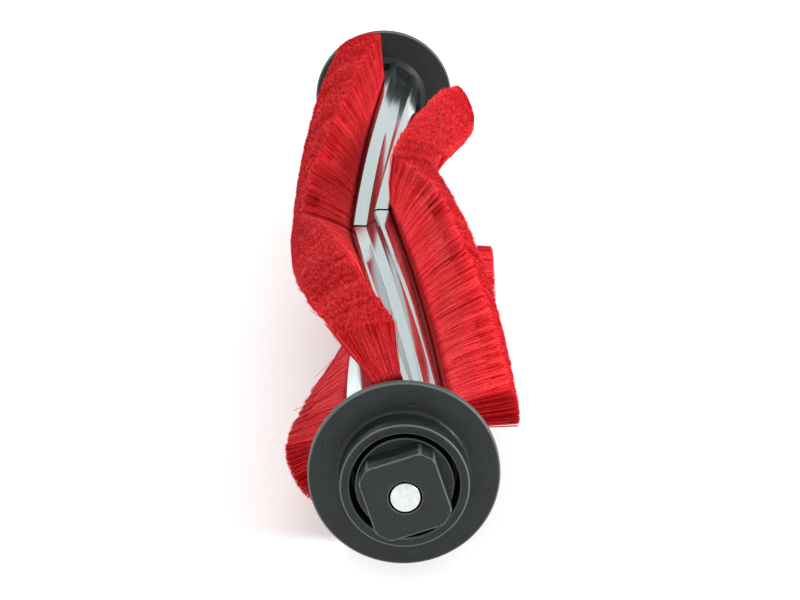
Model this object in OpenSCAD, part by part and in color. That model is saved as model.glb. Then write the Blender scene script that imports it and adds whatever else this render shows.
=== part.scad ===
// Brush roll of a powered carpet sweeper.
// A twisted aluminium core in two mirrored halves carries eight spiral bristle strips in chevrons.
// A steel axle runs through two flanged end caps and turns in two ball bearings, each held in a
// square-ended seat block that slides into the floor head. The roll's axis is X and up is +Z.

/* [Roll] */
// Distance between the outer faces of the two end flanges
roll_length = 300; // [280:1:320]
// Diameter of each end flange
flange_d = 38; // [36:0.5:40]
// Diameter of the circle that the bristle tips reach
brush_d = 49; // [47:0.5:52]
// Diameter of the steel axle
axle_d = 6; // [6:0.1:6.1]
// Angle that each half of the core turns through, in degrees per millimetre of length
twist_rate = 0.5; // [0.3:0.05:0.6]
// Turn of the first strip at the middle of the roll, in degrees from upright
strip_turn = 13; // [0:1:89]
// Lean of the bristles away from the radius, in degrees
bristle_lean = 2; // [0:1:10]

/* [Core] */
// Radius to the outside of the core's lips
lip_r = 11; // [10.8:0.1:11.2]
// Radius to the floor of the valleys between the strips
valley_r = 8.8; // [8.6:0.1:9]
// Gap between the two halves of the core
seam_gap = 1.4; // [0.8:0.1:1.6]
// Width of the mouth that the bristles come out of
mouth_w = 5.8; // [5.2:0.1:6]
// Length of core left bare between the end of the bristles and the outer face of each flange
bare_length = 25; // [10:1:30]
// Extra bare length at the far end of every second strip
extra_bare = 17; // [0:1:20]

/* [End caps] */
// Thickness of the flange
flange_t = 2; // [1.8:0.1:2.4]
// Outer diameter of the near cap's collar
collar_d = 25.4; // [25:0.1:26]
// Inner diameter of the near cap's collar
collar_bore = 21.6; // [21.4:0.1:22]
// Height of the collar above the flange
collar_h = 6.7; // [6:0.1:7]

/* [Bearing seats] */
// Width across the flats of the square seat block
block_af = 15.6; // [15:0.1:16]
// Depth of the square part of the seat block
block_h = 6.9; // [6:0.1:8]
// Leg of the square's corner chamfers
block_chamfer = 2.4; // [1.8:0.1:2.6]
// Diameter of the seat block's round skirt
skirt_d = 19.4; // [19:0.1:19.8]
// Turn of the seat blocks about the axis, in degrees
block_turn = -18; // [-45:1:45]

/* [Drive pulley] */
// Number of teeth on the belt pulley
pulley_teeth = 20; // [16:1:22]
// Tooth pitch of the belt
belt_pitch = 2.5; // [2:0.1:2.5]
// Width of the toothed face
pulley_w = 8.5; // [6:0.5:9]

/* [Hidden] */
$fn = 96;
SIDES = ["near", "far"];
STRIPS = [1, 2, 3, 4];

half = roll_length / 2;
axle_r = axle_d / 2;
flange_r = flange_d / 2;

// Core section, measured in a slot's own frame: x across the slot, y outwards
slot_count = 4;
lip_corner_r = lip_r + 0.2;
mouth = mouth_w / 2;
cavity = mouth + 1;
cavity_floor = 6.2;
cavity_top = 8.6;
slant_start = 22;
slant_end = 34;
wall_start = 49;
wall_end = 54;
core_bore_r = 3.5;
socket_r = 1.3;
socket_pitch_r = 5.9;
socket_angle = 45;
prong_r = 0.95;
prong_h = 4;

// Inner boss of each end cap, which the core butts against
boss_h = 1.5;
boss_base_r = 11.7;
boss_top_r = 10.4;
core_end = half - flange_t - boss_h;
core_slice = 7.3;

// Strips
backing_w = 2 * cavity - 0.4;
backing_low = 6.4;
backing_high = 8.3;
pile_low = 8.4;
strip_slice = 3;
// How far each strip is combed towards the next one, in degrees, by half and by strip
COMBED = [[0, 0, 0, -6], [0, 2, 15, -15]];
fan_start = 11.4;
fan_half = 6.6;
tip_r = brush_d / 2;
end_gap = 0.2;

// Near cap
recess_floor = -1.5;
collar_r = collar_d / 2;
collar_fillet = 0.8;
rim_round = 0.45;
mark_r = 1.4;
mark_pitch_r = 15.8;
mark_count = 5;
mark_turn = 186;
mark_depth = 0.12;

// Far cap and pulley
far_hub_r = 9.5;
far_hub_h = 0.6;
pulley_r = pulley_teeth * belt_pitch / (2 * PI) - 0.25;
tooth_depth = 0.9;
guide_r = 10.5;
guide_t = 1;

// Bearing seat, measured outwards from the bearing's inner face
bearing_w = 5;
bearing_r = 7.5;
inner_ring_r = 4.3;
outer_ring_bore = 6.2;
pitch_r = 5.25;
ball_r = 1.35;
race_r = 1.43;
ball_count = 7;
spacer_t = 0.9;
clip_low = bearing_w + 0.1;
clip_t = 0.6;
groove_r = 2.6;
relief_r = 5.2;
relief_h = 0.8;
skirt_start = 0.2;
seat_face = 6.6;
shaft_hole_r = axle_r + 0.3;
edge_break = 0.3;
seat_front = seat_face + block_h;
seat_near = recess_floor + spacer_t;
seat_far = far_hub_h + pulley_w + guide_t + spacer_t;
near_reach = half + seat_near + seat_front;
far_reach = half + seat_far + seat_front;
shift = (near_reach - far_reach) / 2;

function polar(r, a) = [r * sin(a), r * cos(a)];
function turned(p, a) = [p[0] * cos(a) + p[1] * sin(a), p[1] * cos(a) - p[0] * sin(a)];
function on_circle(r, x) = [x, sqrt(r * r - x * x)];
function arc(r, a0, a1, n) = [for (i = [0 : n]) polar(r, a0 + (a1 - a0) * i / n)];
function round_corner(c, r, a0, a1, n = 4) =
    [for (i = [0 : n]) let (a = a0 + (a1 - a0) * i / n) c + r * [cos(a), sin(a)]];

// The roll is drawn along Z and laid along X, with its bounding box centred on the origin
module along_roll() translate([shift, 0, 0]) rotate([0, 90, 0]) children();

// Places an end's pieces: z = 0 is the flange's outer face and +z points out of the roll
module at_end(side) along_roll() mirror([0, 0, side == "near" ? 1 : 0]) translate([0, 0, half]) children();

// Places a bearing seat's pieces: z = 0 is the bearing's inner face
module at_seat(side) at_end(side) translate([0, 0, side == "near" ? seat_near : seat_far]) children();

// Twists a section along one half of the roll, from the seam towards the flange
module twisted(side, from, to, slice) {
    span = to - from;
    along_roll() mirror([0, 0, side == "near" ? 1 : 0]) translate([0, 0, from])
        rotate([0, 0, twist_rate * from])
            linear_extrude(
                height = span, twist = -twist_rate * span, slices = ceil(span / slice), segments = 0)
                children();
}

module tube(r_in, r_out, z0, z1)
    difference() {
        translate([0, 0, z0]) cylinder(h = z1 - z0, r = r_out);
        translate([0, 0, z0 - 1]) cylinder(h = z1 - z0 + 2, r = r_in);
    }

// Turns a slot-frame shape, whose y axis points outwards, to the strip k's own slot
module in_slot(k) rotate([0, 0, strip_turn + 90 * k]) mirror([0, 1]) rotate([0, 0, -90]) children();

// One quarter of the core's outline, clockwise in the slot frame, from the slot to the next one
function quarter_outline() = concat(
    [[-cavity, cavity_top], [-cavity, cavity_floor], [cavity, cavity_floor], [cavity, cavity_top]],
    [[mouth, cavity_top], on_circle(lip_corner_r, mouth)],
    [polar(lip_corner_r, slant_start)],
    arc(valley_r, slant_end, wall_start, 3),
    arc(lip_r, wall_end, 90 - asin(mouth / lip_r), 3),
    [turned([-mouth, cavity_top], 90)]);

module core_section()
    difference() {
        in_slot(0) polygon([for (q = [0 : slot_count - 1], p = quarter_outline()) turned(p, 90 * q)]);
        circle(r = core_bore_r, $fn = 32);
        for (q = [0 : slot_count - 1])
            in_slot(q) translate(polar(socket_pitch_r, socket_angle)) circle(r = socket_r, $fn = 12);
    }

module core_half(side)
    color([0.72, 0.79, 0.8]) twisted(side, seam_gap / 2, core_end, core_slice) core_section();

// Four short pins that key a cap or the joiner into the core's sockets
module prongs(z0, z1)
    for (q = [0 : slot_count - 1])
        rotate([0, 0, twist_rate * (z0 + z1) / 2 + strip_turn + 90 * q + socket_angle])
            translate([socket_pitch_r, 0, z0]) cylinder(h = z1 - z0, r = prong_r, $fn = 24);

module core_joiner()
    color([0.06, 0.06, 0.06]) along_roll() {
        tube(core_bore_r, valley_r - 0.4, -seam_gap / 2, seam_gap / 2);
        prongs(seam_gap / 2, seam_gap / 2 + prong_h);
        mirror([0, 0, 1]) prongs(seam_gap / 2, seam_gap / 2 + prong_h);
    }

module strip_backing(side, k)
    color([0.2, 0.05, 0.05]) twisted(side, seam_gap / 2, core_end - end_gap, strip_slice)
        in_slot(k) translate([-backing_w / 2, backing_low]) square([backing_w, backing_high - backing_low]);

// Section of a strip's pile: parallel in the core's mouth, then fanned out round an angle
function pile_outline(middle) = concat(
    [[0.1 - mouth, pile_low], [0.1 - mouth, fan_start]],
    arc(tip_r, middle - asin(fan_half / tip_r), middle + asin(fan_half / tip_r), 6),
    [[mouth - 0.1, fan_start], [mouth - 0.1, pile_low]]);

module bristle_strip(side, k) {
    short = side == "far" && k % 2 == 0 ? extra_bare : 0;
    color([0.85, 0.1, 0.12])
        twisted(side, seam_gap / 2, half - bare_length - short, strip_slice)
            in_slot(k) polygon(pile_outline(COMBED[side == "far" ? 1 : 0][k - 1] - bristle_lean));
}

// Section of the inner boss and flange, from the axle bore round to the flange's outer face
function flange_outline() = concat(
    [[axle_r, -flange_t - boss_h], [boss_top_r, -flange_t - boss_h], [boss_base_r, -flange_t]],
    round_corner([flange_r - rim_round, rim_round - flange_t], rim_round, -90, 0),
    round_corner([flange_r - rim_round, -rim_round], rim_round, 0, 90));

module cap_prongs() translate([0, 0, -half]) prongs(core_end - prong_h, core_end + 0.5);

module end_cap_near()
    color([0.17, 0.19, 0.19]) at_end("near") {
        difference() {
            rotate_extrude() polygon(concat(
                flange_outline(),
                round_corner([collar_r + collar_fillet, collar_fillet], collar_fillet, 270, 180),
                round_corner([collar_r - edge_break, collar_h - edge_break], edge_break, 0, 90, 2),
                [[collar_bore / 2 + edge_break, collar_h], [collar_bore / 2, collar_h - edge_break]],
                [[collar_bore / 2, recess_floor], [axle_r, recess_floor]]));
            for (m = [0 : mark_count - 1])
                rotate([0, 0, mark_turn + 360 / mark_count * m])
                    translate([mark_pitch_r, 0, -mark_depth]) cylinder(h = 1, r = mark_r);
        }
        cap_prongs();
    }

module end_cap_far()
    color([0.17, 0.19, 0.19]) at_end("far") {
        rotate_extrude() polygon(concat(
            flange_outline(),
            [[far_hub_r, 0], [far_hub_r, far_hub_h], [axle_r, far_hub_h]]));
        cap_prongs();
    }

// Trapezoidal teeth round the pulley, four points to a tooth
function tooth_outline() = [
    for (t = [0 : pulley_teeth - 1], c = [[0.1, 0], [0.2, 1], [0.6, 1], [0.7, 0]])
        let (a = 360 / pulley_teeth * (t + c[0]), r = pulley_r - tooth_depth * c[1])
            [r * cos(a), r * sin(a)]];

module drive_pulley()
    color([0.1, 0.1, 0.1]) at_end("far") translate([0, 0, far_hub_h])
        difference() {
            linear_extrude(height = pulley_w) polygon(tooth_outline());
            translate([0, 0, -1]) cylinder(h = pulley_w + 2, r = axle_r);
        }

module pulley_guide() {
    base = far_hub_h + pulley_w;
    color([0.7, 0.7, 0.72]) at_end("far") tube(axle_r, guide_r, base, base + guide_t);
}

module axle()
    color([0.85, 0.86, 0.87]) difference() {
        translate([-near_reach + shift, 0, 0]) rotate([0, 90, 0]) rotate_extrude() polygon([
            [0, 0], [axle_r - edge_break, 0], [axle_r, edge_break],
            [axle_r, near_reach + far_reach - edge_break],
            [axle_r - edge_break, near_reach + far_reach], [0, near_reach + far_reach]]);
        for (side = SIDES) at_seat(side) tube(groove_r, axle_r + 1, clip_low, clip_low + clip_t);
    }

module spacer(side) color([0.75, 0.75, 0.76]) at_seat(side) tube(axle_r, inner_ring_r, -spacer_t, 0);

// Half-round race that the balls run in
module race() translate([0, 0, bearing_w / 2]) rotate_extrude() translate([pitch_r, 0]) circle(r = race_r);

module inner_ring(side)
    color([0.8, 0.8, 0.82]) at_seat(side) difference() {
        tube(axle_r, inner_ring_r, 0, bearing_w);
        race();
    }

module outer_ring(side)
    color([0.8, 0.8, 0.82]) at_seat(side) difference() {
        tube(outer_ring_bore, bearing_r, 0, bearing_w);
        race();
    }

module ball_circle(r)
    for (b = [0 : ball_count - 1])
        rotate([0, 0, 360 / ball_count * b]) translate([pitch_r, 0, bearing_w / 2]) sphere(r = r);

module balls(side) color([0.85, 0.85, 0.87]) at_seat(side) ball_circle(ball_r);

// Snap-in cage on the outer side of the balls
module cage(side)
    color([0.75, 0.7, 0.6]) at_seat(side) difference() {
        tube(pitch_r - 0.35, pitch_r + 0.35, bearing_w / 2 + 0.4, bearing_w / 2 + 1.75);
        ball_circle(race_r);
    }

module shields(side)
    color([0.7, 0.7, 0.72]) at_seat(side) {
        tube(inner_ring_r + 0.3, outer_ring_bore, 0.15, 0.45);
        tube(inner_ring_r + 0.3, outer_ring_bore, bearing_w - 0.45, bearing_w - 0.15);
    }

module retaining_clip(side)
    color([0.6, 0.6, 0.62]) at_seat(side) difference() {
        tube(groove_r, inner_ring_r, clip_low, clip_low + clip_t);
        translate([0, -1.5, clip_low - 1]) cube([2 * inner_ring_r, 3, clip_t + 2]);
    }

module block_section(inset)
    offset(r = 0.6) offset(delta = -0.6 - inset) {
        a = block_af / 2;
        b = a - block_chamfer;
        polygon([[a, b], [b, a], [-b, a], [-a, b], [-a, -b], [-b, -a], [b, -a], [a, -b]]);
    }

module seat_block(side)
    color([0.15, 0.15, 0.15]) at_seat(side) rotate([0, 0, block_turn]) difference() {
        union() {
            translate([0, 0, skirt_start]) cylinder(h = seat_face - skirt_start, r = skirt_d / 2);
            translate([0, 0, seat_face - 1]) hull() {
                linear_extrude(height = block_h + 1 - edge_break, $fn = 24) block_section(0);
                linear_extrude(height = block_h + 1, $fn = 24) block_section(edge_break);
            }
        }
        cylinder(h = bearing_w, r = bearing_r);
        cylinder(h = bearing_w + relief_h, r = relief_r);
        cylinder(h = seat_front + 1, r = shaft_hole_r);
    }

axle();
core_joiner();
end_cap_near();
end_cap_far();
drive_pulley();
pulley_guide();
for (s = SIDES) {
    core_half(s);
    spacer(s);
    inner_ring(s);
    outer_ring(s);
    balls(s);
    cage(s);
    shields(s);
    retaining_clip(s);
    seat_block(s);
    for (k = STRIPS) {
        strip_backing(s, k);
        bristle_strip(s, k);
    }
}
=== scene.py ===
"""Looks of a carpet sweeper's brush roll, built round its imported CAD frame."""

from math import asin, cos, degrees, pi, radians, sin, tan

import bpy
import numpy as np
from bpy.props import FloatProperty, FloatVectorProperty, IntProperty, PointerProperty
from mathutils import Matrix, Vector
from mathutils.geometry import tessellate_polygon


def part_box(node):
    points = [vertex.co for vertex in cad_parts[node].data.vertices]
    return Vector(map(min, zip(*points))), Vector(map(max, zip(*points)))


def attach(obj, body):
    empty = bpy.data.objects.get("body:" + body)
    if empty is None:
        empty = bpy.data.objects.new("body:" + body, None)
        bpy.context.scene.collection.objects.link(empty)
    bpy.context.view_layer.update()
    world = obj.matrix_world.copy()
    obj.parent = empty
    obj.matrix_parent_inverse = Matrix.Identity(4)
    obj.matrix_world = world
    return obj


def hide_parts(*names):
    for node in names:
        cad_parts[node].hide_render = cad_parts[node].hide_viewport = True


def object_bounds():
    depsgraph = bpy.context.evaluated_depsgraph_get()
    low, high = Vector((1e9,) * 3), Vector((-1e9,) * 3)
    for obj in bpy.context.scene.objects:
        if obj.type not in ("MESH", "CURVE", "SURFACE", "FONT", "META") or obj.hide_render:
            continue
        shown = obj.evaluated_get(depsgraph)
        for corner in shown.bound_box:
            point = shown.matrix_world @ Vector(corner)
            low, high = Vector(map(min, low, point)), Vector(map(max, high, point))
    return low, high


bl_info = {
    "name": "Sweeper Brush Roll",
    "version": (1, 0, 0),
    "blender": (4, 5, 0),
    "location": "View3D > Sidebar > Brush Roll",
    "description": "Builds the core, bristle strips, end caps and seats of a sweeper's brush roll",
    "category": "Add Mesh",
}

MM = 0.001
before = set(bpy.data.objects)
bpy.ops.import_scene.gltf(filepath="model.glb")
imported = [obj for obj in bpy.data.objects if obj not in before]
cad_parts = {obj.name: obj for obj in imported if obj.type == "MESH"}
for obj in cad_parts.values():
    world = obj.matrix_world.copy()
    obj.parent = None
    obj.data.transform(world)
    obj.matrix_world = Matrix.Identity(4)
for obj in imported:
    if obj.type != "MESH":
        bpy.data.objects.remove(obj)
CAD_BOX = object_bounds()

SIDES = {"near": -1, "far": 1}
STRIPS = (1, 2, 3, 4)
SEAM_X = (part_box("core_joiner")[0].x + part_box("core_joiner")[1].x) / 2


def x_span(node):
    """Both ends of a CAD node along the roll, measured from the seam."""
    low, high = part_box(node)
    return low.x - SEAM_X, high.x - SEAM_X


FLANGE_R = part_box("end_cap_near")[1].z
TIP_R = CAD_BOX[1].z
CORE_START, CORE_END = x_span("core_far")
PILE_ENDS = {
    (side, strip): max(map(abs, x_span(f"bristle_strip_{side}_{strip}")))
    for side in SIDES
    for strip in STRIPS
}
BACKING_END = x_span("strip_backing_far_1")[1]
AXLE_R = 3 * MM
CORE_BORE_R = 3.5 * MM
FLANGE_BOSS = 1.5 * MM
FLANGE_T = 2 * MM
FLANGE_X = CORE_END + FLANGE_BOSS + FLANGE_T
SEAT_X = {side: min(map(abs, x_span(f"inner_ring_{side}"))) for side in SIDES}

# The pile: radii of the strands' roots and bends, how much lower its shoulders are than its
# crown, the share of the slot's mouth that it fills, and its solid heart's share of its width
ROOT_R = 10.8 * MM
BEND_R = 13.3 * MM
SHOULDER = 0.5 * MM
MOUTH_FILL = 0.93
HEART_SHARE = 0.93

# How each strip is combed: millimetres from the seam, then the angles in degrees that its tips
# reach on either side of its slot's middle
COMBING = {
    ("near", 1): (
        (0, -15, 11.3), (20, -16, 14), (40, -17, 17),
        (80, -18.4, 13), (125, -18.4, 11.5),
    ),
    ("near", 2): (
        (0, -13, 11.3), (9, -6, 12), (20, 1, 13),
        (50, -2, 14), (100, -6, 14), (125, -8, 11.5),
    ),
    ("near", 3): ((0, -16, 13), (125, -17, 13)),
    ("near", 4): ((0, -19, 12), (125, -24.8, 7.5)),
    ("far", 1): (
        (0, -17, 11.3), (30, -17.5, 18), (70, -17.5, 17),
        (100, -17.5, 14), (125, -17.5, 11.5),
    ),
    ("far", 2): (
        (0, -13, 11.3), (15, -17, 13.5), (40, -17.5, 17.3),
        (80, -17, 16.5), (108, -12, 16),
    ),
    ("far", 3): ((0, -16, 13), (25, -2, 28), (125, -2, 28)),
    ("far", 4): ((0, -19, 12), (25, -32, -2), (125, -32, -2)),
}

# ---------------------------------------------------------------- sizes and colours


class BrushRollSizes(bpy.types.PropertyGroup):
    twist: FloatProperty(
        name="Twist", description="Turn of the core in degrees per millimetre", default=0.5
    )
    first_slot: FloatProperty(
        name="First Slot",
        description="Place of the first slot at the seam, from upright towards the sweeper's front",
        default=radians(-77),
        subtype="ANGLE",
    )
    lip_r: FloatProperty(
        name="Lip Radius", description="Radius to the core's lips", default=11 * MM, unit="LENGTH"
    )
    valley_r: FloatProperty(
        name="Valley Radius",
        description="Radius to the floor between two slots",
        default=8.8 * MM,
        unit="LENGTH",
    )
    mouth: FloatProperty(
        name="Slot Mouth", description="Width of a slot's mouth", default=5.8 * MM, unit="LENGTH"
    )
    strand_w: FloatProperty(
        name="Strand", description="Thickness of a bristle", default=0.2 * MM, unit="LENGTH"
    )
    side_strands: IntProperty(
        name="Side Strands", description="Long bristles on each flank of a strip", default=2600
    )
    tip_strands: IntProperty(
        name="Tip Strands", description="Bristles whose tips alone show", default=8800
    )
    end_strands: IntProperty(
        name="End Strands", description="Long bristles on each cut end of a strip", default=330
    )


class BrushRollColours(bpy.types.PropertyGroup):
    bristle: FloatVectorProperty(
        name="Bristles",
        description="Lit colour of the pile",
        subtype="COLOR",
        default=(0.6, 0.0045, 0.01),
    )
    # Painted shade: the pile's colour as if in shadow, used at the roots, between tufts and on the
    # darker strands.
    bristle_painted_shade: FloatVectorProperty(
        name="Bristle Roots",
        description="Colour deep in the pile",
        subtype="COLOR",
        default=(0.2, 0.0008, 0.0025),
    )
    metal: FloatVectorProperty(
        name="Core", description="Drawn aluminium", subtype="COLOR", default=(0.47, 0.545, 0.55)
    )
    plastic: FloatVectorProperty(
        name="Black Plastic",
        description="Caps and seats",
        subtype="COLOR",
        default=(0.007, 0.0078, 0.0078),
    )
    steel: FloatVectorProperty(
        name="Steel",
        description="Axle, rings and washers",
        subtype="COLOR",
        default=(0.6, 0.6, 0.61),
    )


class BrushRollStage(bpy.types.PropertyGroup):
    distance: FloatProperty(
        name="Camera Distance",
        description="From the camera to the point it looks at",
        default=0.80867,
        unit="LENGTH",
    )
    elevation: FloatProperty(
        name="Elevation",
        description="Camera's height above the axis",
        default=radians(17.78),
        subtype="ANGLE",
    )
    turn: FloatProperty(
        name="Turn",
        description="Camera's turn off the roll's axis",
        default=radians(1.026),
        subtype="ANGLE",
    )
    lens: FloatProperty(name="Lens", description="Focal length in millimetres", default=151.67)
    aim_y: FloatProperty(
        name="Aim Y",
        description="Sideways place of the point aimed at",
        default=-1.89 * MM,
        unit="LENGTH",
    )
    aim_z: FloatProperty(
        name="Aim Z", description="Height of the point aimed at", default=-12.17 * MM, unit="LENGTH"
    )


# ---------------------------------------------------------------- places


def on_roll(across, out, x, turn=0.0):
    """Points of the roll: a place across and out of a slot, x from the seam, and the slot's turn.

    The turn is measured from upright towards -Y. y = -(out sin t + across cos t) and
    z = out cos t - across sin t.
    """
    y = -(out * np.sin(turn) + across * np.cos(turn))
    z = out * np.cos(turn) - across * np.sin(turn)
    return np.stack(np.broadcast_arrays(SEAM_X + x, y, z), -1)


def slot_turn(strip, x, sizes):
    """Turn of a slot at x: its turn at the seam plus the twist times the distance from the seam."""
    return sizes.first_slot + (strip - 1) * pi / 2 + radians(sizes.twist) * np.abs(x) / MM


def rounded(corners, steps=5):
    """A closed outline through corners (x, y, radius), each turned by an arc of that radius."""
    corners = [(Vector((c[0], c[1])), c[2]) for c in corners]
    points = []
    for i, (here, radius) in enumerate(corners):
        back = corners[i - 1][0] - here
        on = corners[(i + 1) % len(corners)][0] - here
        half = back.angle(on) / 2
        if radius <= 0 or half > radians(89.5):
            points.append(here)
            continue
        reach = min(radius / tan(half), 0.49 * back.length, 0.49 * on.length)
        radius = reach * tan(half)
        centre = here + (back.normalized() + on.normalized()).normalized() * (radius / sin(half))
        first = here + back.normalized() * reach - centre
        last = here + on.normalized() * reach - centre
        sweep = first.angle_signed(last)
        for j in range(steps + 1):
            a = -sweep * j / steps
            x = first.x * cos(a) - first.y * sin(a)
            y = first.x * sin(a) + first.y * cos(a)
            points.append(centre + Vector((x, y)))
    return np.array([tuple(p) for p in points])


# ---------------------------------------------------------------- meshes


def six_volumes(verts, tris):
    """Six times the volume that triangles enclose: the sum of each one's triple product."""
    a, b, c = verts[tris[:, 0]], verts[tris[:, 1]], verts[tris[:, 2]]
    return np.einsum("ij,ij->", a, np.cross(b, c))


def set_attribute(mesh, name, values):
    """Gives a mesh one number for each vertex, under a name that its material reads."""
    layer = mesh.attributes.new(name, "FLOAT", "POINT")
    layer.data.foreach_set("value", values.astype(np.float32))


def make_mesh(name, verts, faces, uvs=None, attributes=None):
    """A mesh from vertices and a list of face arrays, turned so that its faces point outwards."""
    verts = np.asarray(verts, float).reshape(-1, 3)
    tris = np.concatenate([f[:, [0, i, i + 1]] for f in faces for i in range(1, f.shape[1] - 1)])
    if six_volumes(verts - verts.mean(0), tris) < 0:
        faces = [f[:, ::-1] for f in faces]
    mesh = bpy.data.meshes.new(name)
    mesh.vertices.add(len(verts))
    mesh.vertices.foreach_set("co", verts.astype(np.float32).ravel())
    corners = np.concatenate([f.ravel() for f in faces]).astype(np.int32)
    counts = np.concatenate([np.full(len(f), f.shape[1]) for f in faces])
    mesh.loops.add(len(corners))
    mesh.loops.foreach_set("vertex_index", corners)
    mesh.polygons.add(len(counts))
    mesh.polygons.foreach_set("loop_start", (np.cumsum(counts) - counts).astype(np.int32))
    mesh.update(calc_edges=True)
    if uvs is not None:
        layer = mesh.uv_layers.new(name="UVMap")
        layer.data.foreach_set("uv", np.asarray(uvs, np.float32)[corners].ravel())
    for key, values in (attributes or {}).items():
        set_attribute(mesh, key, values)
    mesh.validate()
    return mesh


def grid_quads(rows, columns, wrap_rows=False, wrap_columns=False, start=0):
    """Quads joining a grid of vertices numbered row by row."""
    r = np.arange(rows if wrap_rows else rows - 1)
    c = np.arange(columns if wrap_columns else columns - 1)
    r, c = np.meshgrid(r, c, indexing="ij")
    r1, c1 = (r + 1) % rows, (c + 1) % columns
    quads = np.stack([r * columns + c, r * columns + c1, r1 * columns + c1, r1 * columns + c], -1)
    return quads.reshape(-1, 4) + start


def mark_highlight_edges(mesh):
    """Marks with 1 in the attribute edge the vertices inside rounded outer edges.

    The mesh edges that meet at a vertex fall behind its tangent plane, and the sine of that angle
    is averaged. Up to flat it is a plain face, and from sharp on a corner. The part of the
    flange's face that has moulded marks is left out. The plastic paints a highlight on the
    marked vertices.
    """
    flat, sharp = 0.07, 0.2
    marked_from, marked_to = 13.8 * MM, 17.7 * MM
    count = len(mesh.vertices)
    co, normal = np.empty(count * 3, np.float32), np.empty(count * 3, np.float32)
    ends = np.empty(len(mesh.edges) * 2, np.int32)
    mesh.vertices.foreach_get("co", co)
    mesh.vertex_normals.foreach_get("vector", normal)
    mesh.edges.foreach_get("vertices", ends)
    co, normal, ends = co.reshape(-1, 3), normal.reshape(-1, 3), ends.reshape(-1, 2)
    fall, met = np.zeros(count), np.zeros(count)
    for here, there in ((ends[:, 0], ends[:, 1]), (ends[:, 1], ends[:, 0])):
        along = co[there] - co[here]
        sine = -np.sum(along * normal[here], 1) / np.linalg.norm(along, axis=1).clip(1e-9)
        np.add.at(fall, here, sine)
        np.add.at(met, here, 1)
    fall = fall / met.clip(1)
    away = np.hypot(co[:, 1], co[:, 2])
    marked = (away > marked_from) & (away < marked_to)
    # Vertices marked 1 here get a painted highlight from the plastic's material.
    set_attribute(mesh, "edge", (fall > flat) & (fall < sharp) & ~marked)


def add_piece(mesh, body, material, nodes, smooth_angle=30):
    """Puts a mesh in the scene as a piece that rides on a body and stands for CAD nodes."""
    mesh.materials.append(material)
    mesh.polygons.foreach_set("use_smooth", np.ones(len(mesh.polygons), bool))
    if smooth_angle:
        mesh.set_sharp_from_angle(angle=radians(smooth_angle))
    piece = bpy.data.objects.new(mesh.name, mesh)
    bpy.context.scene.collection.objects.link(piece)
    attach(piece, body)
    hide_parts(*nodes)
    return piece


def swept_section(loops, x, turn):
    """Verts, faces and UVs of a section carried along x and turned as it goes, closed at both ends.

    loops are closed outlines, the outer one first and then its holes, each the same all along or
    with one outline for every x. The UVs run round the outline and along the roll, in metres.
    """
    verts, faces, uvs, rings, ids, start = [], [], [], [], [], 0
    for i, loop in enumerate(loops):
        loop = np.broadcast_to(loop, (len(x), *loop.shape[-2:]))
        ring = loop[0]
        if (signed_area(ring) > 0) != (i == 0):
            loop = loop[:, ::-1]
            ring = loop[0]
        n = len(ring)
        places = on_roll(loop[..., 0], loop[..., 1], x[:, None], turn[:, None])
        verts.append(places.reshape(-1, 3))
        faces.append(grid_quads(len(x), n, wrap_columns=True, start=start))
        step = np.hypot(*(np.roll(ring, -1, 0) - ring).T)
        round_it = np.concatenate([[0], np.cumsum(step)[:-1]])
        uvs.append(np.stack(np.broadcast_arrays(round_it[None], x[:, None]), -1).reshape(-1, 2))
        rings.append(ring)
        ids.append(np.arange(n) + start)
        start += n * len(x)
    first = np.concatenate(ids)
    last = np.concatenate([i + len(i) * (len(x) - 1) for i in ids])
    tris = np.array(tessellate_polygon([[Vector((*p, 0)) for p in ring] for ring in rings]))
    a, b, c = (np.concatenate(rings)[tris[:, k]] for k in range(3))
    ab, ac = b - a, c - a
    left = ab[:, 0] * ac[:, 1] - ab[:, 1] * ac[:, 0] > 0
    tris = np.where(left[:, None], tris, tris[:, ::-1])
    faces += [first[tris][:, ::-1], last[tris]]
    return np.concatenate(verts), faces, np.concatenate(uvs)


def signed_area(ring):
    """Twice the area of a closed outline, above zero when it runs anticlockwise."""
    return np.sum(ring[:, 0] * np.roll(ring[:, 1], -1) - np.roll(ring[:, 0], -1) * ring[:, 1])


def turned(profile, side, steps=192, radius=None, lift=None):
    """Verts and quads of a closed profile (radius, outward place) turned about the roll's axis.

    Place 0 is the outer face of the side's flange. radius(r, place, angle) reshapes a ring and
    lift(r, place, angle) moves it along the axis, so a square or a marked face can be turned too.
    """
    angle = np.linspace(0, 2 * pi, steps, endpoint=False)[None, :]
    r = np.repeat(profile[:, :1], steps, 1)
    place = np.repeat(profile[:, 1:], steps, 1)
    if lift:
        place = place + lift(r, place, angle)
    if radius:
        r = radius(r, place, angle)
    x = SIDES[side] * (FLANGE_X + place)
    verts = on_roll(0 * r, r, x, angle)
    return verts.reshape(-1, 3), [grid_quads(len(profile), steps, True, True)]


# ---------------------------------------------------------------- materials


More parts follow.
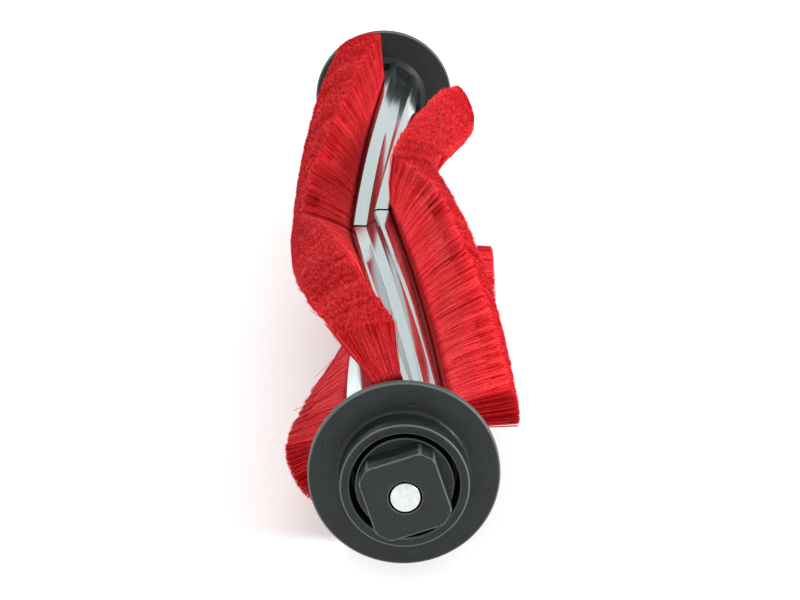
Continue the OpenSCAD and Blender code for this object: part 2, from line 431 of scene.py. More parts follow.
class Nodes:
    """Short calls for building a material's node tree."""

    def __init__(self, name):
        self.material = bpy.data.materials.new(name)
        self.material.use_nodes = True
        self.tree = self.material.node_tree
        self.shader = self.tree.nodes["Principled BSDF"]

    def add(self, kind, **values):
        """A node with its properties and its inputs set, by name."""
        node = self.tree.nodes.new(kind)
        for key, value in values.items():
            if hasattr(node, key):
                setattr(node, key, value)
            else:
                node.inputs[key.replace("_", " ").title()].default_value = value
        return node

    def join(self, output, target):
        """Joins an output to an input."""
        self.tree.links.new(output, target)

    def set(self, **values):
        """Constants on the shader's own sockets."""
        for key, value in values.items():
            self.shader.inputs[key.replace("_", " ")].default_value = value

    def coords(self, kind="Object", scale=(1, 1, 1)):
        """Texture coordinates stretched by scale."""
        source = self.add("ShaderNodeTexCoord")
        mapping = self.add("ShaderNodeMapping")
        mapping.inputs["Scale"].default_value = scale
        self.join(source.outputs[kind], mapping.inputs["Vector"])
        return mapping.outputs["Vector"]

    def noise(self, vector, scale, detail=2.0, roughness=0.5):
        """Noise value at a scale in features to the metre."""
        node = self.add("ShaderNodeTexNoise", scale=scale, detail=detail, roughness=roughness)
        self.join(vector, node.inputs["Vector"])
        return node.outputs["Fac"]

    def spread(self, value, low, high, start=0.0, end=1.0):
        """value mapped from start..end to low..high."""
        node = self.add("ShaderNodeMapRange")
        limits = {"From Min": start, "From Max": end, "To Min": low, "To Max": high}
        for socket, number in limits.items():
            node.inputs[socket].default_value = number
        self.join(value, node.inputs["Value"])
        return node.outputs["Result"]

    def tint(self, factor, first, second):
        """A colour between two, each a colour or another node's output."""
        node = self.add("ShaderNodeMix", data_type="RGBA")
        self.join(factor, node.inputs[0])
        for socket, colour in ((node.inputs[6], first), (node.inputs[7], second)):
            if isinstance(colour, bpy.types.NodeSocket):
                self.join(colour, socket)
            else:
                socket.default_value = (*colour, 1)
        return node.outputs[2]

    def bump(self, height, distance, strength=1.0, after=None):
        """Bump of a height in metres, on top of another bump."""
        node = self.add("ShaderNodeBump", strength=strength, distance=distance)
        self.join(height, node.inputs["Height"])
        if after is not None:
            self.join(after, node.inputs["Normal"])
        return node.outputs["Normal"]

    def attribute(self, name):
        """The number that each vertex has under a name."""
        return self.add("ShaderNodeAttribute", attribute_name=name).outputs["Fac"]

    def finish(self, **inputs):
        """Joins outputs to the shader's sockets and returns the material."""
        for key, output in inputs.items():
            self.join(output, self.shader.inputs[key.replace("_", " ")])
        return self.material


def scaled(colour, factor):
    """A colour made lighter or darker."""
    return tuple(c * factor for c in colour)


def moulded_plastic(name, colour, roughness=0.42):
    """Satin moulded plastic: cloudy colour, fine spark-eroded grain and faint handling marks."""
    n = Nodes(name)
    vector = n.coords()
    clouds = n.noise(vector, 160, 4, 0.6)
    grain = n.noise(vector, 3600, 2)
    marks = n.noise(n.coords(scale=(1, 0.25, 1)), 900, 5, 0.7)
    green = (colour[0] * 0.85, colour[1] * 1.25, colour[2] * 1.2)
    base = n.tint(n.spread(clouds, 0, 1, 0.35, 0.65), scaled(colour, 0.7), green)
    base = n.tint(n.spread(marks, 0, 0.6, 0.58, 0.75), base, scaled(colour, 4))
    base = n.tint(n.spread(grain, 0, 0.7, 0.52, 0.7), base, scaled(colour, 3))
    # Painted highlight: vertices on rounded outer edges, marked 1 in the attribute edge, are
    # painted eleven times lighter.
    base = n.tint(n.attribute("edge"), base, scaled(colour, 11))
    rough = n.spread(marks, roughness - 0.1, roughness + 0.15, 0.3, 0.7)
    n.set(Specular_IOR_Level=0.32)
    return n.finish(
        Base_Color=base,
        Roughness=rough,
        Normal=n.bump(grain, 0.04 * MM, 0.5, n.bump(clouds, 0.2 * MM, 0.3)),
    )


def drawn_metal(name, colour, roughness=0.13):
    """Bright drawn aluminium: streaks along its length in its gloss, colour and surface."""
    n = Nodes(name)
    n.set(Metallic=1.0)
    streaks = n.noise(n.coords("UV", (2600, 12, 1)), 1, 3, 0.6)
    broad = n.noise(n.coords("UV", (500, 14, 1)), 1, 3, 0.55)
    base = n.tint(n.spread(broad, 0, 1, 0.3, 0.7), scaled(colour, 0.92), colour)
    return n.finish(
        Base_Color=base,
        Roughness=n.spread(streaks, roughness - 0.04, roughness + 0.05, 0.3, 0.7),
        Normal=n.bump(streaks, 0.003 * MM, 0.3, n.bump(broad, 0.02 * MM, 0.2)),
    )


def turned_steel(name, colour, roughness=0.25):
    """Ground steel: fine rings about the axis, from the distance to it, and small dull patches."""
    n = Nodes(name)
    n.set(Metallic=1.0)
    vector = n.coords(scale=(0.02, 1, 1))
    length = n.add("ShaderNodeVectorMath", operation="LENGTH")
    n.join(vector, length.inputs[0])
    rings = n.noise(length.outputs["Value"], 9000, 2)
    patches = n.noise(n.coords(), 700, 4, 0.6)
    base = n.tint(n.spread(patches, 0, 1, 0.35, 0.7), colour, scaled(colour, 0.85))
    return n.finish(
        Base_Color=base,
        Roughness=n.spread(patches, roughness, roughness + 0.15, 0.35, 0.7),
        Normal=n.bump(rings, 0.004 * MM, 0.4),
    )


def pile_material(name, lit, deep):
    """Nylon pile: each strand its own shade, from a painted shade colour to a pale painted sheen,
    and painted shade at the roots.
    """
    n = Nodes(name)
    shade = n.attribute("shade")
    height = n.attribute("height")
    # pale: the lit colour washed out towards white, a painted sheen for the palest strands.
    pale = (min(1, lit[0] * 1.6), lit[1] * 13, lit[2] * 7)
    base = n.tint(n.spread(shade, 0, 1, 0.45, 1.0), lit, pale)
    # Strands of low shade fade into the deep colour: painted shade.
    base = n.tint(n.spread(shade, 0.85, 0, 0.0, 0.45), base, deep)
    # Dark speckles in the deep colour: painted shade in the gaps between tufts.
    speckle = n.noise(n.coords(), 1900, 2, 0.6)
    base = n.tint(n.spread(speckle, 0.35, 0, 0.36, 0.56), base, deep)
    # Darker towards the roots, by height: painted shade deep in the pile.
    base = n.tint(n.spread(height, 0.8, 0, 0.0, 0.12), base, deep)
    n.set(Specular_IOR_Level=0.06, Roughness=0.45)
    return n.finish(Base_Color=base)


def woven_material(name, colour):
    """Coarse woven backing: diagonal bands of one wave along the UVs, in colour and bump."""
    n = Nodes(name)
    vector = n.coords("UV")
    waves = {"wave_type": "BANDS", "bands_direction": "DIAGONAL"}
    weave = n.add("ShaderNodeTexWave", **waves, scale=900, distortion=0.6)
    n.join(vector, weave.inputs["Vector"])
    base = n.tint(weave.outputs["Fac"], scaled(colour, 0.5), scaled(colour, 1.5))
    n.set(Roughness=0.85)
    return n.finish(Base_Color=base, Normal=n.bump(weave.outputs["Fac"], 0.15 * MM, 0.8))


# ---------------------------------------------------------------- core


def core_outline(sizes):
    """The core's outline: four slots, each with a cavity under its lips, and four valleys.

    Between two slots it goes from the lip's corner down a slant to the valley's floor, along
    the floor's arc, up a steep wall to a narrow crest and down the next lip's face to its mouth.
    """
    mouth, cavity = sizes.mouth / 2, sizes.mouth / 2 + 1 * MM
    low, top = 6.2 * MM, 8.6 * MM
    corner_r, lip_r, valley_r = sizes.lip_r + 0.2 * MM, sizes.lip_r, sizes.valley_r
    crisp, soft = 0.12 * MM, 0.45 * MM

    def polar(r, angle, radius):
        """A corner at a radius and an angle in degrees from the slot's middle."""
        return (r * sin(radians(angle)), r * cos(radians(angle)), radius)

    quarter = [(-cavity, top, crisp), (-cavity, low, crisp)]
    quarter += [(cavity, low, crisp), (cavity, top, crisp)]
    quarter += [(mouth, top, crisp), (mouth, (corner_r**2 - mouth**2) ** 0.5, crisp)]
    quarter += [polar(corner_r, 22, 0.3 * MM), polar(valley_r, 33, 1.2 * MM)]
    quarter += [polar(valley_r, a, 0) for a in np.linspace(36, 46.5, 4)]
    quarter += [polar(valley_r, 49, 0.7 * MM), polar(lip_r, 54, 0.25 * MM)]
    face_r = lip_r - 0.6 * MM
    quarter += [polar(lip_r, 58.5, soft), polar(face_r, 90 - degrees(asin(mouth / face_r)), crisp)]
    outline = []
    for q in range(4):
        a = radians(90 * q)
        outline += [(x * cos(a) + y * sin(a), y * cos(a) - x * sin(a), r) for x, y, r in quarter]
    return rounded(outline, 4)


def circle(radius, steps=48):
    """A round outline about the roll's axis."""
    a = np.linspace(0, 2 * pi, steps, endpoint=False)
    return np.stack([radius * np.cos(a), radius * np.sin(a)], -1)


def ring_profile(inner, rim, low, high, edge, steps):
    """Profile of a plain ring between two places, with its outer edges rounded by edge."""
    corners = [(inner, low, 0), (rim, low, edge), (rim, high, edge), (inner, high, 0)]
    return rounded(corners, steps)


class MESH_OT_sweeper_core(bpy.types.Operator):
    """Both twisted halves of the aluminium core"""

    bl_idname = "mesh.sweeper_core"
    bl_label = "Core"

    def execute(self, context):
        sizes = context.scene.brush_roll_sizes
        material = drawn_metal("core_metal", context.scene.brush_roll_colours.metal)
        loops = [core_outline(sizes), circle(CORE_BORE_R)]
        for side, sign in SIDES.items():
            x = sign * np.linspace(CORE_START, CORE_END, 121)
            verts, faces, uvs = swept_section(loops, x, slot_turn(1, x, sizes))
            mesh = make_mesh(f"core_half_{side}", verts, faces, uvs)
            add_piece(mesh, "roller", material, [f"core_{side}"], 28)
        return {"FINISHED"}


class MESH_OT_sweeper_joiner(bpy.types.Operator):
    """Black disc that shows in the gap between the core's halves"""

    bl_idname = "mesh.sweeper_joiner"
    bl_label = "Core Joiner"

    def execute(self, context):
        sizes = context.scene.brush_roll_sizes
        # Near-black and dull: black plastic, made darker than the caps' plastic as painted shadow
        # in the gap.
        material = moulded_plastic("joiner_plastic", (0.003, 0.003, 0.003), 0.7)
        half, rim = CORE_START, sizes.valley_r - 0.4 * MM
        profile = ring_profile(CORE_BORE_R, rim, -half, half, 0.2 * MM, 5)
        profile[:, 1] -= FLANGE_X
        mesh = make_mesh("core_joiner_disc", *turned(profile, "far", 96))
        add_piece(mesh, "roller", material, ["core_joiner"])
        return {"FINISHED"}


# ---------------------------------------------------------------- strips


class MESH_OT_sweeper_backings(bpy.types.Operator):
    """Woven backings that hold the pile in the slots"""

    bl_idname = "mesh.sweeper_backings"
    bl_label = "Strip Backings"

    def execute(self, context):
        sizes = context.scene.brush_roll_sizes
        material = woven_material("backing_weave", (0.05, 0.012, 0.012))
        half = sizes.mouth / 2 + 0.8 * MM
        low, high = 6.4 * MM, 8.4 * MM
        bow = 0.3 * MM
        corners = [(-half, low, bow), (half, low, bow), (half, high, bow), (-half, high, bow)]
        section = rounded(corners, 3)
        for side, sign in SIDES.items():
            for strip in STRIPS:
                x = sign * np.linspace(CORE_START, BACKING_END, 81)
                verts, faces, uvs = swept_section([section], x, slot_turn(strip, x, sizes))
                mesh = make_mesh(f"backing_{side}_{strip}", verts, faces, uvs)
                node = f"strip_backing_{side}_{strip}"
                add_piece(mesh, "roller", material, [node])
        return {"FINISHED"}


def smooth_noise(rng, places, spacing, amount):
    """Random heights every spacing along places, joined by straight lines."""
    knots = rng.normal(0, amount, int(places.max() / spacing) + 3)
    return np.interp(places / spacing, np.arange(len(knots)), knots)


def strand_mesh(base, middle, tip, width, rings, sides=3):
    """Closed tapered strands, each along the curve through its base, middle and tip.

    A point at t is (1-t)^2 base + 2t(1-t) middle + t^2 tip, and round it stand the corners of a
    small polygon that narrows to six tenths at the tip.
    """
    t = np.asarray(rings)[None, :, None]
    spine = (1 - t) ** 2 * base[:, None] + 2 * t * (1 - t) * middle[:, None] + t**2 * tip[:, None]
    along = tip - base
    along /= np.linalg.norm(along, axis=1, keepdims=True)
    first = np.cross(along, [1.0, 0.0, 0.0])
    first /= np.linalg.norm(first, axis=1, keepdims=True)
    second = np.cross(along, first)
    a = np.linspace(0, 2 * pi, sides, endpoint=False)
    corner = first[:, None] * np.cos(a)[None, :, None] + second[:, None] * np.sin(a)[None, :, None]
    taper = width[:, None] * (1 - 0.4 * np.asarray(rings)[None, :]) / 2
    verts = spine[:, :, None] + corner[:, None] * taper[:, :, None, None]
    count, levels = len(base), len(rings)
    side_quads = grid_quads(levels, sides, wrap_columns=True)
    starts = np.arange(count)[:, None, None] * levels * sides
    quads = (side_quads[None] + starts).reshape(-1, 4)
    bottom = (np.arange(sides)[::-1][None] + starts[:, 0]).reshape(-1, sides)
    top = (np.arange(sides)[None] + (levels - 1) * sides + starts[:, 0]).reshape(-1, sides)
    return verts.reshape(-1, 3), [quads, bottom, top]


def combed(key, distance):
    """Middle and half spread of the tips' angles in a slot, read off the strip's combing."""
    places, low, high = np.array(COMBING[key], float).T
    low, high = (np.interp(distance / MM, places, np.radians(side)) for side in (low, high))
    return (low + high) / 2, (high - low) / 2


def pile_tips(rng, key, across, distance):
    """Where strands end: the tip's angle in the slot, its radius and its shift along the roll.

    The angle is the combing's middle plus its spread times the strand's place across the mouth.
    Tufts a few millimetres long share a small lean, length and angle, and each strand adds more.
    A few strands stray.
    """
    count = len(distance)
    middle, spread = combed(key, distance)
    angle = middle + spread * across * (1 - np.abs(rng.normal(0, 0.1, count)))
    angle = angle + smooth_noise(rng, distance, 2.2 * MM, radians(0.5))
    angle = angle + rng.normal(0, radians(0.5), count)
    angle = angle + (rng.random(count) < 0.002) * rng.normal(0, radians(4), count)
    radius = TIP_R - 0.1 * MM - SHOULDER * np.abs(across) ** 4
    radius = radius + smooth_noise(rng, distance, 3.1 * MM, 0.12 * MM)
    radius = radius - np.abs(rng.normal(0, 0.35 * MM, count))
    shift = smooth_noise(rng, distance, 1.6 * MM, 0.35 * MM) + rng.normal(0, 0.4 * MM, count)
    return angle, np.minimum(radius, TIP_R + 0.1 * MM), shift


def strand_bend(across, tip_across, mouth, inset):
    """Where a strand bends, across its slot: out over the lip, and over towards its tip's side.

    Inset is the strand's distance from the strip's outer end, near which the bend is flatter.
    """
    full = 0.6 + 0.6 * np.clip(inset / (14 * MM), 0, 1)
    return full * across * mouth + 0.5 * tip_across * BEND_R / TIP_R


def pile_strands(rng, key, across, distance, rings, start, painted_light_tone, sizes, splay=0.0):
    """Strands of one strip, rooted at a place across the mouth and a distance from the seam.

    Each is a curve from the mouth, by way of its bend, to its tip. Only the part past start is
    made. How pale the strands are is painted: sheen for the flanks and shade for the tips and
    ends. It varies at random by strand and by tuft, and fades darker to the tips, so that the
    flanks' painted sheen runs into the tips' painted shade.
    Splay moves the tips along the roll, away from the seam when it is above zero.
    """
    sign, strip = SIDES[key[0]], key[1]
    angle, radius, shift = pile_tips(rng, key, across, distance)
    tip_distance = np.clip(distance + shift + splay, 0.1 * MM, PILE_ENDS[key] + 1.2 * MM)
    mouth = sizes.mouth / 2 * MOUTH_FILL
    turn = slot_turn(strip, distance, sizes)
    tip_turn = slot_turn(strip, tip_distance, sizes)
    tip_across = radius * np.sin(angle)
    root = on_roll(across * mouth, ROOT_R, sign * distance, turn)
    bend_across = strand_bend(across, tip_across, mouth, PILE_ENDS[key] - distance)
    bend = on_roll(bend_across, BEND_R, sign * distance, turn)
    tip = on_roll(tip_across, radius * np.cos(angle), sign * tip_distance, tip_turn)
    width = sizes.strand_w * rng.uniform(0.75, 1.25, len(distance))
    levels = start + (1 - start) * np.asarray(rings)
    verts, faces = strand_mesh(root, bend, tip, width, levels)
    # Each strand's shade: the painted light of its kind, a random difference by strand and by tuft,
    # and painted shade towards the tips.
    shade = rng.normal(painted_light_tone, 0.25, len(distance)) + smooth_noise(rng, distance, 0.8 * MM, 0.15)
    shade = shade[:, None] - 0.3 * levels**2
    return verts, faces, np.repeat(np.clip(shade, 0, 1).ravel(), 3)


def pile_body(rng, key, sizes):
    """The solid heart of the pile: the fan's section, a little smaller, carried along the slot.

    Its flanks follow the strands' own curve, and its crown is an arc just below the tips, lower
    towards its shoulders. It ripples at random so that no flat face shows between strands.
    """
    mouth, top = sizes.mouth / 2 * MOUTH_FILL, TIP_R - 0.8 * MM
    foot_r, ripple_from = 8.8 * MM, 12 * MM
    distance = np.linspace(CORE_START + 0.4 * MM, PILE_ENDS[key] - 0.5 * MM, 150)
    middle, spread = combed(key, distance)
    fan = np.linspace(-1, 1, 13)[None, :]
    angle = middle[:, None] + HEART_SHARE * spread[:, None] * fan
    crown = top - SHOULDER * np.abs(fan) ** 4
    crown_across, crown_out = crown * np.sin(angle), crown * np.cos(angle)
    t = np.array([0, 0.2, 0.4, 0.6, 0.8])[None, :]
    flanks = []
    for edge, corner in ((-1, 0), (1, -1)):
        tip_across, tip_out = crown_across[:, corner, None], crown_out[:, corner, None]
        side = HEART_SHARE * edge
        bend = strand_bend(side, tip_across, mouth, PILE_ENDS[key] - distance[:, None])
        across = (1 - t) ** 2 * side * mouth + 2 * t * (1 - t) * bend + t**2 * tip_across
        out = (1 - t) ** 2 * ROOT_R + 2 * t * (1 - t) * BEND_R + t**2 * tip_out
        across = np.concatenate([np.full((len(distance), 1), side * mouth), across], 1)
        out = np.concatenate([np.full((len(distance), 1), foot_r), out], 1)
        flanks.append((across, out))
    across = np.concatenate([flanks[0][0], crown_across, flanks[1][0][:, ::-1]], 1)
    out = np.concatenate([flanks[0][1], crown_out, flanks[1][1][:, ::-1]], 1)
    x = SIDES[key[0]] * distance
    verts, faces, _ = swept_section([np.stack([across, out], -1)], x, slot_turn(key[1], x, sizes))
    grid = verts.reshape(len(x), -1, 3)
    rise = np.hypot(grid[..., 1], grid[..., 2]) > ripple_from
    grid[..., 1:] *= (1 + rng.normal(0, 0.006, rise.shape) * rise)[..., None]
    return grid.reshape(-1, 3), faces, np.full(rise.size, 0.4)


def joined(parts):
    """Several (verts, faces, shade) parts as one, with their faces renumbered."""
    verts, faces, shades, start = [], [], [], 0
    for v, f, shade in parts:
        verts.append(v)
        faces += [group + start for group in f]
        shades.append(shade)
        start += len(v)
    return np.concatenate(verts), faces, np.concatenate(shades)


class MESH_OT_sweeper_bristles(bpy.types.Operator):
    """Eight strips of bristles: a solid heart under thousands of closed strands"""

    bl_idname = "mesh.sweeper_bristles"
    bl_label = "Bristle Strips"

    def execute(self, context):
        sizes = context.scene.brush_roll_sizes
        colours = context.scene.brush_roll_colours
        material = pile_material("bristle_nylon", colours.bristle, colours.bristle_painted_shade)
        long_rings, short_rings, tip_start = [0, 0.25, 0.6, 1], [0, 1], 0.82
        # Flank strands are painted pale, a painted sheen; tip and end strands are painted darker,
        # painted shade.
        painted_sheen_tone, painted_shade_tone = 1.0, 0.62
        for number, key in enumerate(COMBING):
            rng = np.random.default_rng(number)
            parts = [pile_body(rng, key, sizes)]
            span = (CORE_START + 0.3 * MM, PILE_ENDS[key])
            for flank in (-1, 1):
                across = flank * (1 - np.abs(rng.normal(0, 0.08, sizes.side_strands)))
                distance = rng.uniform(*span, sizes.side_strands)
                place = rng, key, across, distance
                parts.append(pile_strands(*place, long_rings, 0.0, painted_sheen_tone, sizes))
            across = rng.uniform(-1, 1, sizes.tip_strands)
            distance = rng.uniform(*span, sizes.tip_strands)
            place = rng, key, across, distance
            parts.append(pile_strands(*place, short_rings, tip_start, painted_shade_tone, sizes))
            for end, splay in ((span[0], -0.8 * MM), (span[1], 0.9 * MM)):
                across = rng.uniform(-1, 1, sizes.end_strands)
                distance = end - np.sign(splay) * np.abs(rng.normal(0, 0.3 * MM, sizes.end_strands))
                place = rng, key, across, distance
                parts.append(pile_strands(*place, long_rings, 0.0, painted_shade_tone, sizes, splay))
            verts, faces, shade = joined(parts)
            height = (np.hypot(verts[:, 1], verts[:, 2]) - ROOT_R) / (TIP_R - ROOT_R)
            name = "_".join(map(str, key))
            attributes = {"shade": shade, "height": height}
            mesh = make_mesh(f"bristles_{name}", verts, faces, None, attributes)
            add_piece(mesh, "roller", material, [f"bristle_strip_{name}"], None)
        return {"FINISHED"}


# ---------------------------------------------------------------- end caps


def flange_profile():
    """Corners of the boss and flange that both caps share, from the axle bore outwards."""
    inner = -FLANGE_T - FLANGE_BOSS
    return [
        (AXLE_R, inner, 0),
        (10.4 * MM, inner, 0.3 * MM),
        (11.7 * MM, -FLANGE_T, 0.3 * MM),
        (FLANGE_R, -FLANGE_T, 0.45 * MM),
        (FLANGE_R, 0, 0.4 * MM),
    ]


def ejector_marks(r, place, angle):
    """Shallow moulding marks: a fine groove round each of five discs on the flange's face."""
    pitch_r, mark_r, first = 15.8 * MM, 1.4 * MM, radians(6)
    ring_depth, disc_depth, count = 0.06 * MM, 0.03 * MM, 5
    low = 0 * r
    for k in range(count):
        a = first + k * 2 * pi / count
        away = np.hypot(r * np.sin(angle) - pitch_r * sin(a), r * np.cos(angle) - pitch_r * cos(a))
        groove = np.exp(-(((away - mark_r) / (0.16 * MM)) ** 2))
        disc = 1 / (1 + np.exp((away - mark_r) / (0.1 * MM)))
        low = low - ring_depth * groove - disc_depth * disc
    return low * (place > -0.05 * MM) * (place < 0.05 * MM)


class MESH_OT_sweeper_caps(bpy.types.Operator):
    """Flanged end caps: the near one has a collar round its seat, the far one a short hub"""

    bl_idname = "mesh.sweeper_caps"
    bl_label = "End Caps"

    def execute(self, context):
        material = moulded_plastic("cap_plastic", context.scene.brush_roll_colours.plastic)
        collar_r, bore_r, rim, floor = 12.7 * MM, 10.8 * MM, 6.7 * MM, -1.5 * MM
        outer, inner, step = 17.6, 13.9, 0.13
        face = [(r, 0, 0) for r in np.arange(outer, inner, -step) * MM]
        near = flange_profile() + face
        near += [(collar_r, 0, 0.9 * MM), (collar_r, rim, 0.35 * MM), (bore_r, rim, 0.35 * MM)]
        near += [(bore_r, floor, 0.4 * MM), (AXLE_R, floor, 0)]
        hub_r, hub = 9.5 * MM, 0.6 * MM
        far = flange_profile()
        far += [(hub_r, 0, 0.3 * MM), (hub_r, hub, 0.2 * MM), (AXLE_R, hub, 0)]
        caps = (("near", near, 640, ejector_marks), ("far", far, 256, None))
        for side, corners, steps, lift in caps:
            mesh = make_mesh(f"cap_{side}", *turned(rounded(corners), side, steps, lift=lift))
            mark_highlight_edges(mesh)
            add_piece(mesh, "roller", material, [f"end_cap_{side}"], 25)
        return {"FINISHED"}


# ---------------------------------------------------------------- seats, axle and drive


def square_ring(radius, angle):
    """Radius of a chamfered square whose flats lie at radius, with softened corners.

    The smooth minimum over eight walls of the wall's distance over the cosine of the angle to it.
    """
    chamfer_leg, sharpness = 2.4 * MM, 70
    chamfer = (2 * radius - chamfer_leg) / 2**0.5
    total = 0
    for k in range(8):
        wall = radius if k % 2 == 0 else chamfer
        total = total + np.maximum(np.cos(angle - k * pi / 4) / wall, 1e-3) ** sharpness
    return total ** (-1 / sharpness)


class MESH_OT_sweeper_seats(bpy.types.Operator):
    """Seat blocks: a round skirt over the bearing and a square end for the floor head's socket"""

    bl_idname = "mesh.sweeper_seats"
    bl_label = "Seat Blocks"

    def execute(self, context):
        plastic = scaled(context.scene.brush_roll_colours.plastic, 0.9)
        material = moulded_plastic("seat_plastic", plastic, 0.38)
        half, skirt_r, hole_r, pocket_r, relief_r = (v * MM for v in (7.8, 9.7, 3.3, 7.5, 5.2))
        start, face, front, pocket, relief = (v * MM for v in (0.2, 6.6, 13.5, 5.0, 5.8))
        turn = radians(-18)
        corners = [
            (hole_r, relief, 0),
            (hole_r, front, 0.2 * MM),
            (half, front, 0.32 * MM),
            (half, face + 0.02 * MM, 0.15 * MM),
            (skirt_r, face, 0.3 * MM),
            (skirt_r, start, 0.3 * MM),
            (pocket_r, start, 0.1 * MM),
            (pocket_r, pocket, 0),
            (relief_r, pocket, 0),
            (relief_r, relief, 0),
        ]
        for side in SIDES:
            place = SEAT_X[side] - FLANGE_X
            profile = rounded(corners)

            def square(r, at, angle):
                """Squares the rings past the skirt and outside the hole."""
                ring = square_ring(r, angle - turn)
                inside = (r > hole_r + 0.5 * MM) & (r < half + 0.01 * MM) & (at > place + face)
                return np.where(inside, ring, r)

            profile[:, 1] += place
            mesh = make_mesh(f"seat_{side}", *turned(profile, side, 360, radius=square))
            mark_highlight_edges(mesh)
            nodes = [f"seat_block_{side}"]
            add_piece(mesh, f"{side}_seat", material, nodes, 25)
        return {"FINISHED"}


class MESH_OT_sweeper_axle(bpy.types.Operator):
    """Ground steel axle with chamfered ends and a groove for each retaining clip"""

    bl_idname = "mesh.sweeper_axle"
    bl_label = "Axle"

    def execute(self, context):
        material = turned_steel("axle_steel", context.scene.brush_roll_colours.steel)
        low, high = x_span("axle")
        groove, pin, clip = 2.6 * MM, 0.02 * MM, (5.1, 5.7)
        cuts = []
        for side, sign in sorted(SIDES.items(), key=lambda s: s[1]):
            near, far = sorted(sign * (SEAT_X[side] + d * MM) for d in clip)
            cuts += [(AXLE_R, near, 0), (groove, near, 0), (groove, far, 0), (AXLE_R, far, 0)]
        corners = [(pin, low, 0), (AXLE_R, low, 0.3 * MM), *cuts]
        corners += [(AXLE_R, high, 0.3 * MM), (pin, high, 0)]
        profile = rounded(corners, 3)
        profile[:, 1] -= FLANGE_X
        mesh = make_mesh("axle_rod", *turned(profile, "far", 96))
        add_piece(mesh, "roller", material, ["axle"])
        return {"FINISHED"}


class MESH_OT_sweeper_drive(bpy.types.Operator):
    """Toothed belt pulley and the steel washer that guides the belt"""

    bl_idname = "mesh.sweeper_drive"
    bl_label = "Drive Pulley"

    def execute(self, context):
        colours = context.scene.brush_roll_colours
        teeth, pitch, depth, hub_r = 20, 2.5, 0.9 * MM, 5 * MM
        tooth_r = teeth * pitch * MM / (2 * pi) - 0.25 * MM

        def toothed(r, at, angle):
            """Cuts the rings outside the hub back between the teeth."""
            phase = (teeth * angle / (2 * pi)) % 1.0
            cut = np.clip((0.35 - np.abs(phase - 0.4)) / 0.1, 0, 1)
            return np.where(r > hub_r, r - depth * cut, r)

        low, high = (v - FLANGE_X for v in x_span("drive_pulley"))
        profile = ring_profile(AXLE_R, tooth_r, low, high, 0.2 * MM, 3)
        mesh = make_mesh("pulley", *turned(profile, "far", 400, radius=toothed))
        plastic = moulded_plastic("pulley_plastic", (0.02, 0.02, 0.02), 0.5)
        add_piece(mesh, "roller", plastic, ["drive_pulley"])
        low, high = (v - FLANGE_X for v in x_span("pulley_guide"))
        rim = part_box("pulley_guide")[1].z
        profile = ring_profile(AXLE_R, rim, low, high, 0.25 * MM, 3)
        mesh = make_mesh("belt_guide", *turned(profile, "far", 192))
        steel = turned_steel("guide_steel", colours.steel)
        add_piece(mesh, "roller", steel, ["pulley_guide"])
        return {"FINISHED"}


class MESH_OT_sweeper_bearings(bpy.types.Operator):
    """Finishes of the bearings, spacers and clips, which keep their CAD shapes"""

    bl_idname = "mesh.sweeper_bearings"
    bl_label = "Bearing Finishes"

    def execute(self, context):
        steel = context.scene.brush_roll_colours.steel
        finishes = {
            "inner_ring": turned_steel("bearing_steel", steel, 0.12),
            "shields": turned_steel("shield_steel", scaled(steel, 0.8), 0.35),
            "spacer": turned_steel("spacer_steel", scaled(steel, 0.7), 0.4),
            "cage": moulded_plastic("cage_nylon", (0.5, 0.42, 0.28), 0.5),
        }
        finishes["outer_ring"] = finishes["balls"] = finishes["inner_ring"]
        finishes["retaining_clip"] = finishes["spacer"]
        for part, material in finishes.items():
            for side in SIDES:
                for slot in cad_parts[f"{part}_{side}"].material_slots:
                    slot.material = material
        return {"FINISHED"}


# ---------------------------------------------------------------- stage


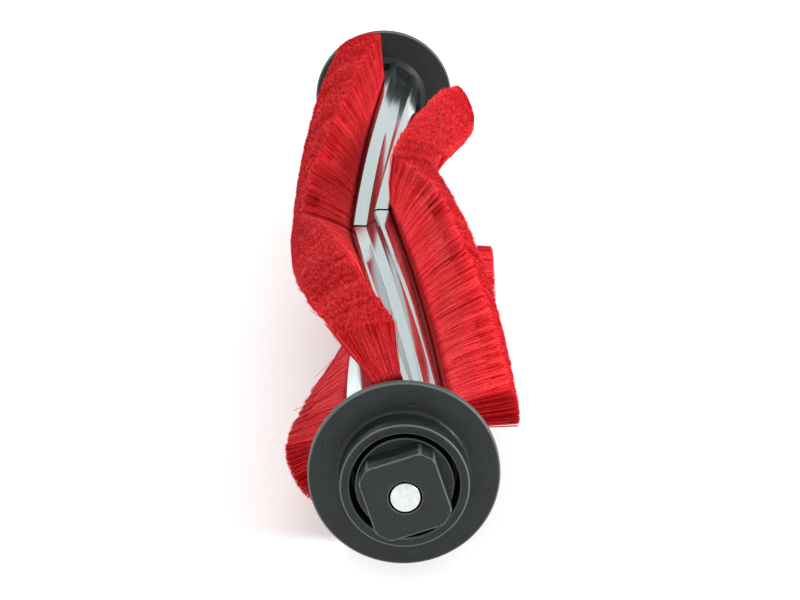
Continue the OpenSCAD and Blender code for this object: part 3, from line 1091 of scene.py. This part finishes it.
class SCENE_OT_sweeper_stage(bpy.types.Operator):
    """Pale floor, soft studio lights and the camera"""

    bl_idname = "scene.sweeper_stage"
    bl_label = "Stage"

    def floor(self):
        """A pale sheet just below the bristles."""
        reach = 4.0
        z = CAD_BOX[0].z - 0.3 * MM
        mesh = bpy.data.meshes.new("floor")
        corners = [(x * reach, y * reach, z) for x, y in ((-1, -1), (1, -1), (1, 1), (-1, 1))]
        mesh.from_pydata(corners, [], [(0, 1, 2, 3)])
        n = Nodes("floor_paper")
        n.set(Base_Color=(0.96, 0.96, 0.96, 1), Roughness=0.9)
        mesh.materials.append(n.material)
        floor = bpy.data.objects.new("floor", mesh)
        bpy.context.scene.collection.objects.link(floor)

    def light(self, name, place, size, power):
        """A round lamp at a place, aimed at the middle of the roll."""
        data = bpy.data.lights.new(name, "AREA")
        data.shape = "DISK"
        data.size = size
        data.energy = power
        lamp = bpy.data.objects.new(name, data)
        lamp.location = place
        lamp.rotation_mode = "QUATERNION"
        lamp.rotation_quaternion = (-Vector(place)).to_track_quat("-Z", "Y")
        bpy.context.scene.collection.objects.link(lamp)

    def execute(self, context):
        scene, stage = context.scene, context.scene.brush_roll_stage
        self.floor()
        world = bpy.data.worlds.new("studio")
        world.use_nodes = True
        background = world.node_tree.nodes["Background"]
        background.inputs["Color"].default_value = (0.96, 1, 1, 1)
        background.inputs["Strength"].default_value = 1.08
        scene.world = world
        self.light("key", (-0.3, -1.0, 0.5), 0.35, 12)
        self.light("rim", (0.6, 0.7, 0.9), 0.12, 5)
        self.light("front", (-1.1, 0.35, 0.5), 0.4, 1.5)
        scene.view_settings.view_transform = "Standard"
        data = bpy.data.cameras.new("camera")
        data.lens = stage.lens
        data.clip_start, data.clip_end = 0.05, 20
        camera = bpy.data.objects.new("camera", data)
        level = cos(stage.elevation)
        back = Vector((-level * cos(stage.turn), level * sin(stage.turn), sin(stage.elevation)))
        camera.location = Vector((SEAM_X, stage.aim_y, stage.aim_z)) + back * stage.distance
        camera.rotation_mode = "QUATERNION"
        camera.rotation_quaternion = (-back).to_track_quat("-Z", "Y")
        scene.collection.objects.link(camera)
        scene.camera = camera
        return {"FINISHED"}


# ---------------------------------------------------------------- add-on


BUILDERS = (
    MESH_OT_sweeper_core,
    MESH_OT_sweeper_joiner,
    MESH_OT_sweeper_backings,
    MESH_OT_sweeper_bristles,
    MESH_OT_sweeper_caps,
    MESH_OT_sweeper_seats,
    MESH_OT_sweeper_axle,
    MESH_OT_sweeper_drive,
    MESH_OT_sweeper_bearings,
    SCENE_OT_sweeper_stage,
)


class VIEW3D_PT_brush_roll(bpy.types.Panel):
    """Sizes, colours and the pieces to build"""

    bl_label = "Brush Roll"
    bl_space_type = "VIEW_3D"
    bl_region_type = "UI"
    bl_category = "Brush Roll"

    def draw(self, context):
        for group in GROUPS:
            settings = getattr(context.scene, group)
            box = self.layout.box()
            for key in settings.__annotations__:
                box.prop(settings, key)
        for builder in BUILDERS:
            self.layout.operator(builder.bl_idname)


GROUPS = {
    "brush_roll_sizes": BrushRollSizes,
    "brush_roll_colours": BrushRollColours,
    "brush_roll_stage": BrushRollStage,
}
CLASSES = (*GROUPS.values(), *BUILDERS, VIEW3D_PT_brush_roll)


def register():
    """Adds the settings, the operators and the panel to Blender."""
    for cls in CLASSES:
        bpy.utils.register_class(cls)
    for name, group in GROUPS.items():
        setattr(bpy.types.Scene, name, PointerProperty(type=group))


def unregister():
    """Takes them out again."""
    for name in GROUPS:
        delattr(bpy.types.Scene, name)
    for cls in reversed(CLASSES):
        bpy.utils.unregister_class(cls)


def main():
    register()
    for builder in BUILDERS:
        area, name = builder.bl_idname.split(".")
        getattr(getattr(bpy.ops, area), name)()


if __name__ == "__main__":
    main()
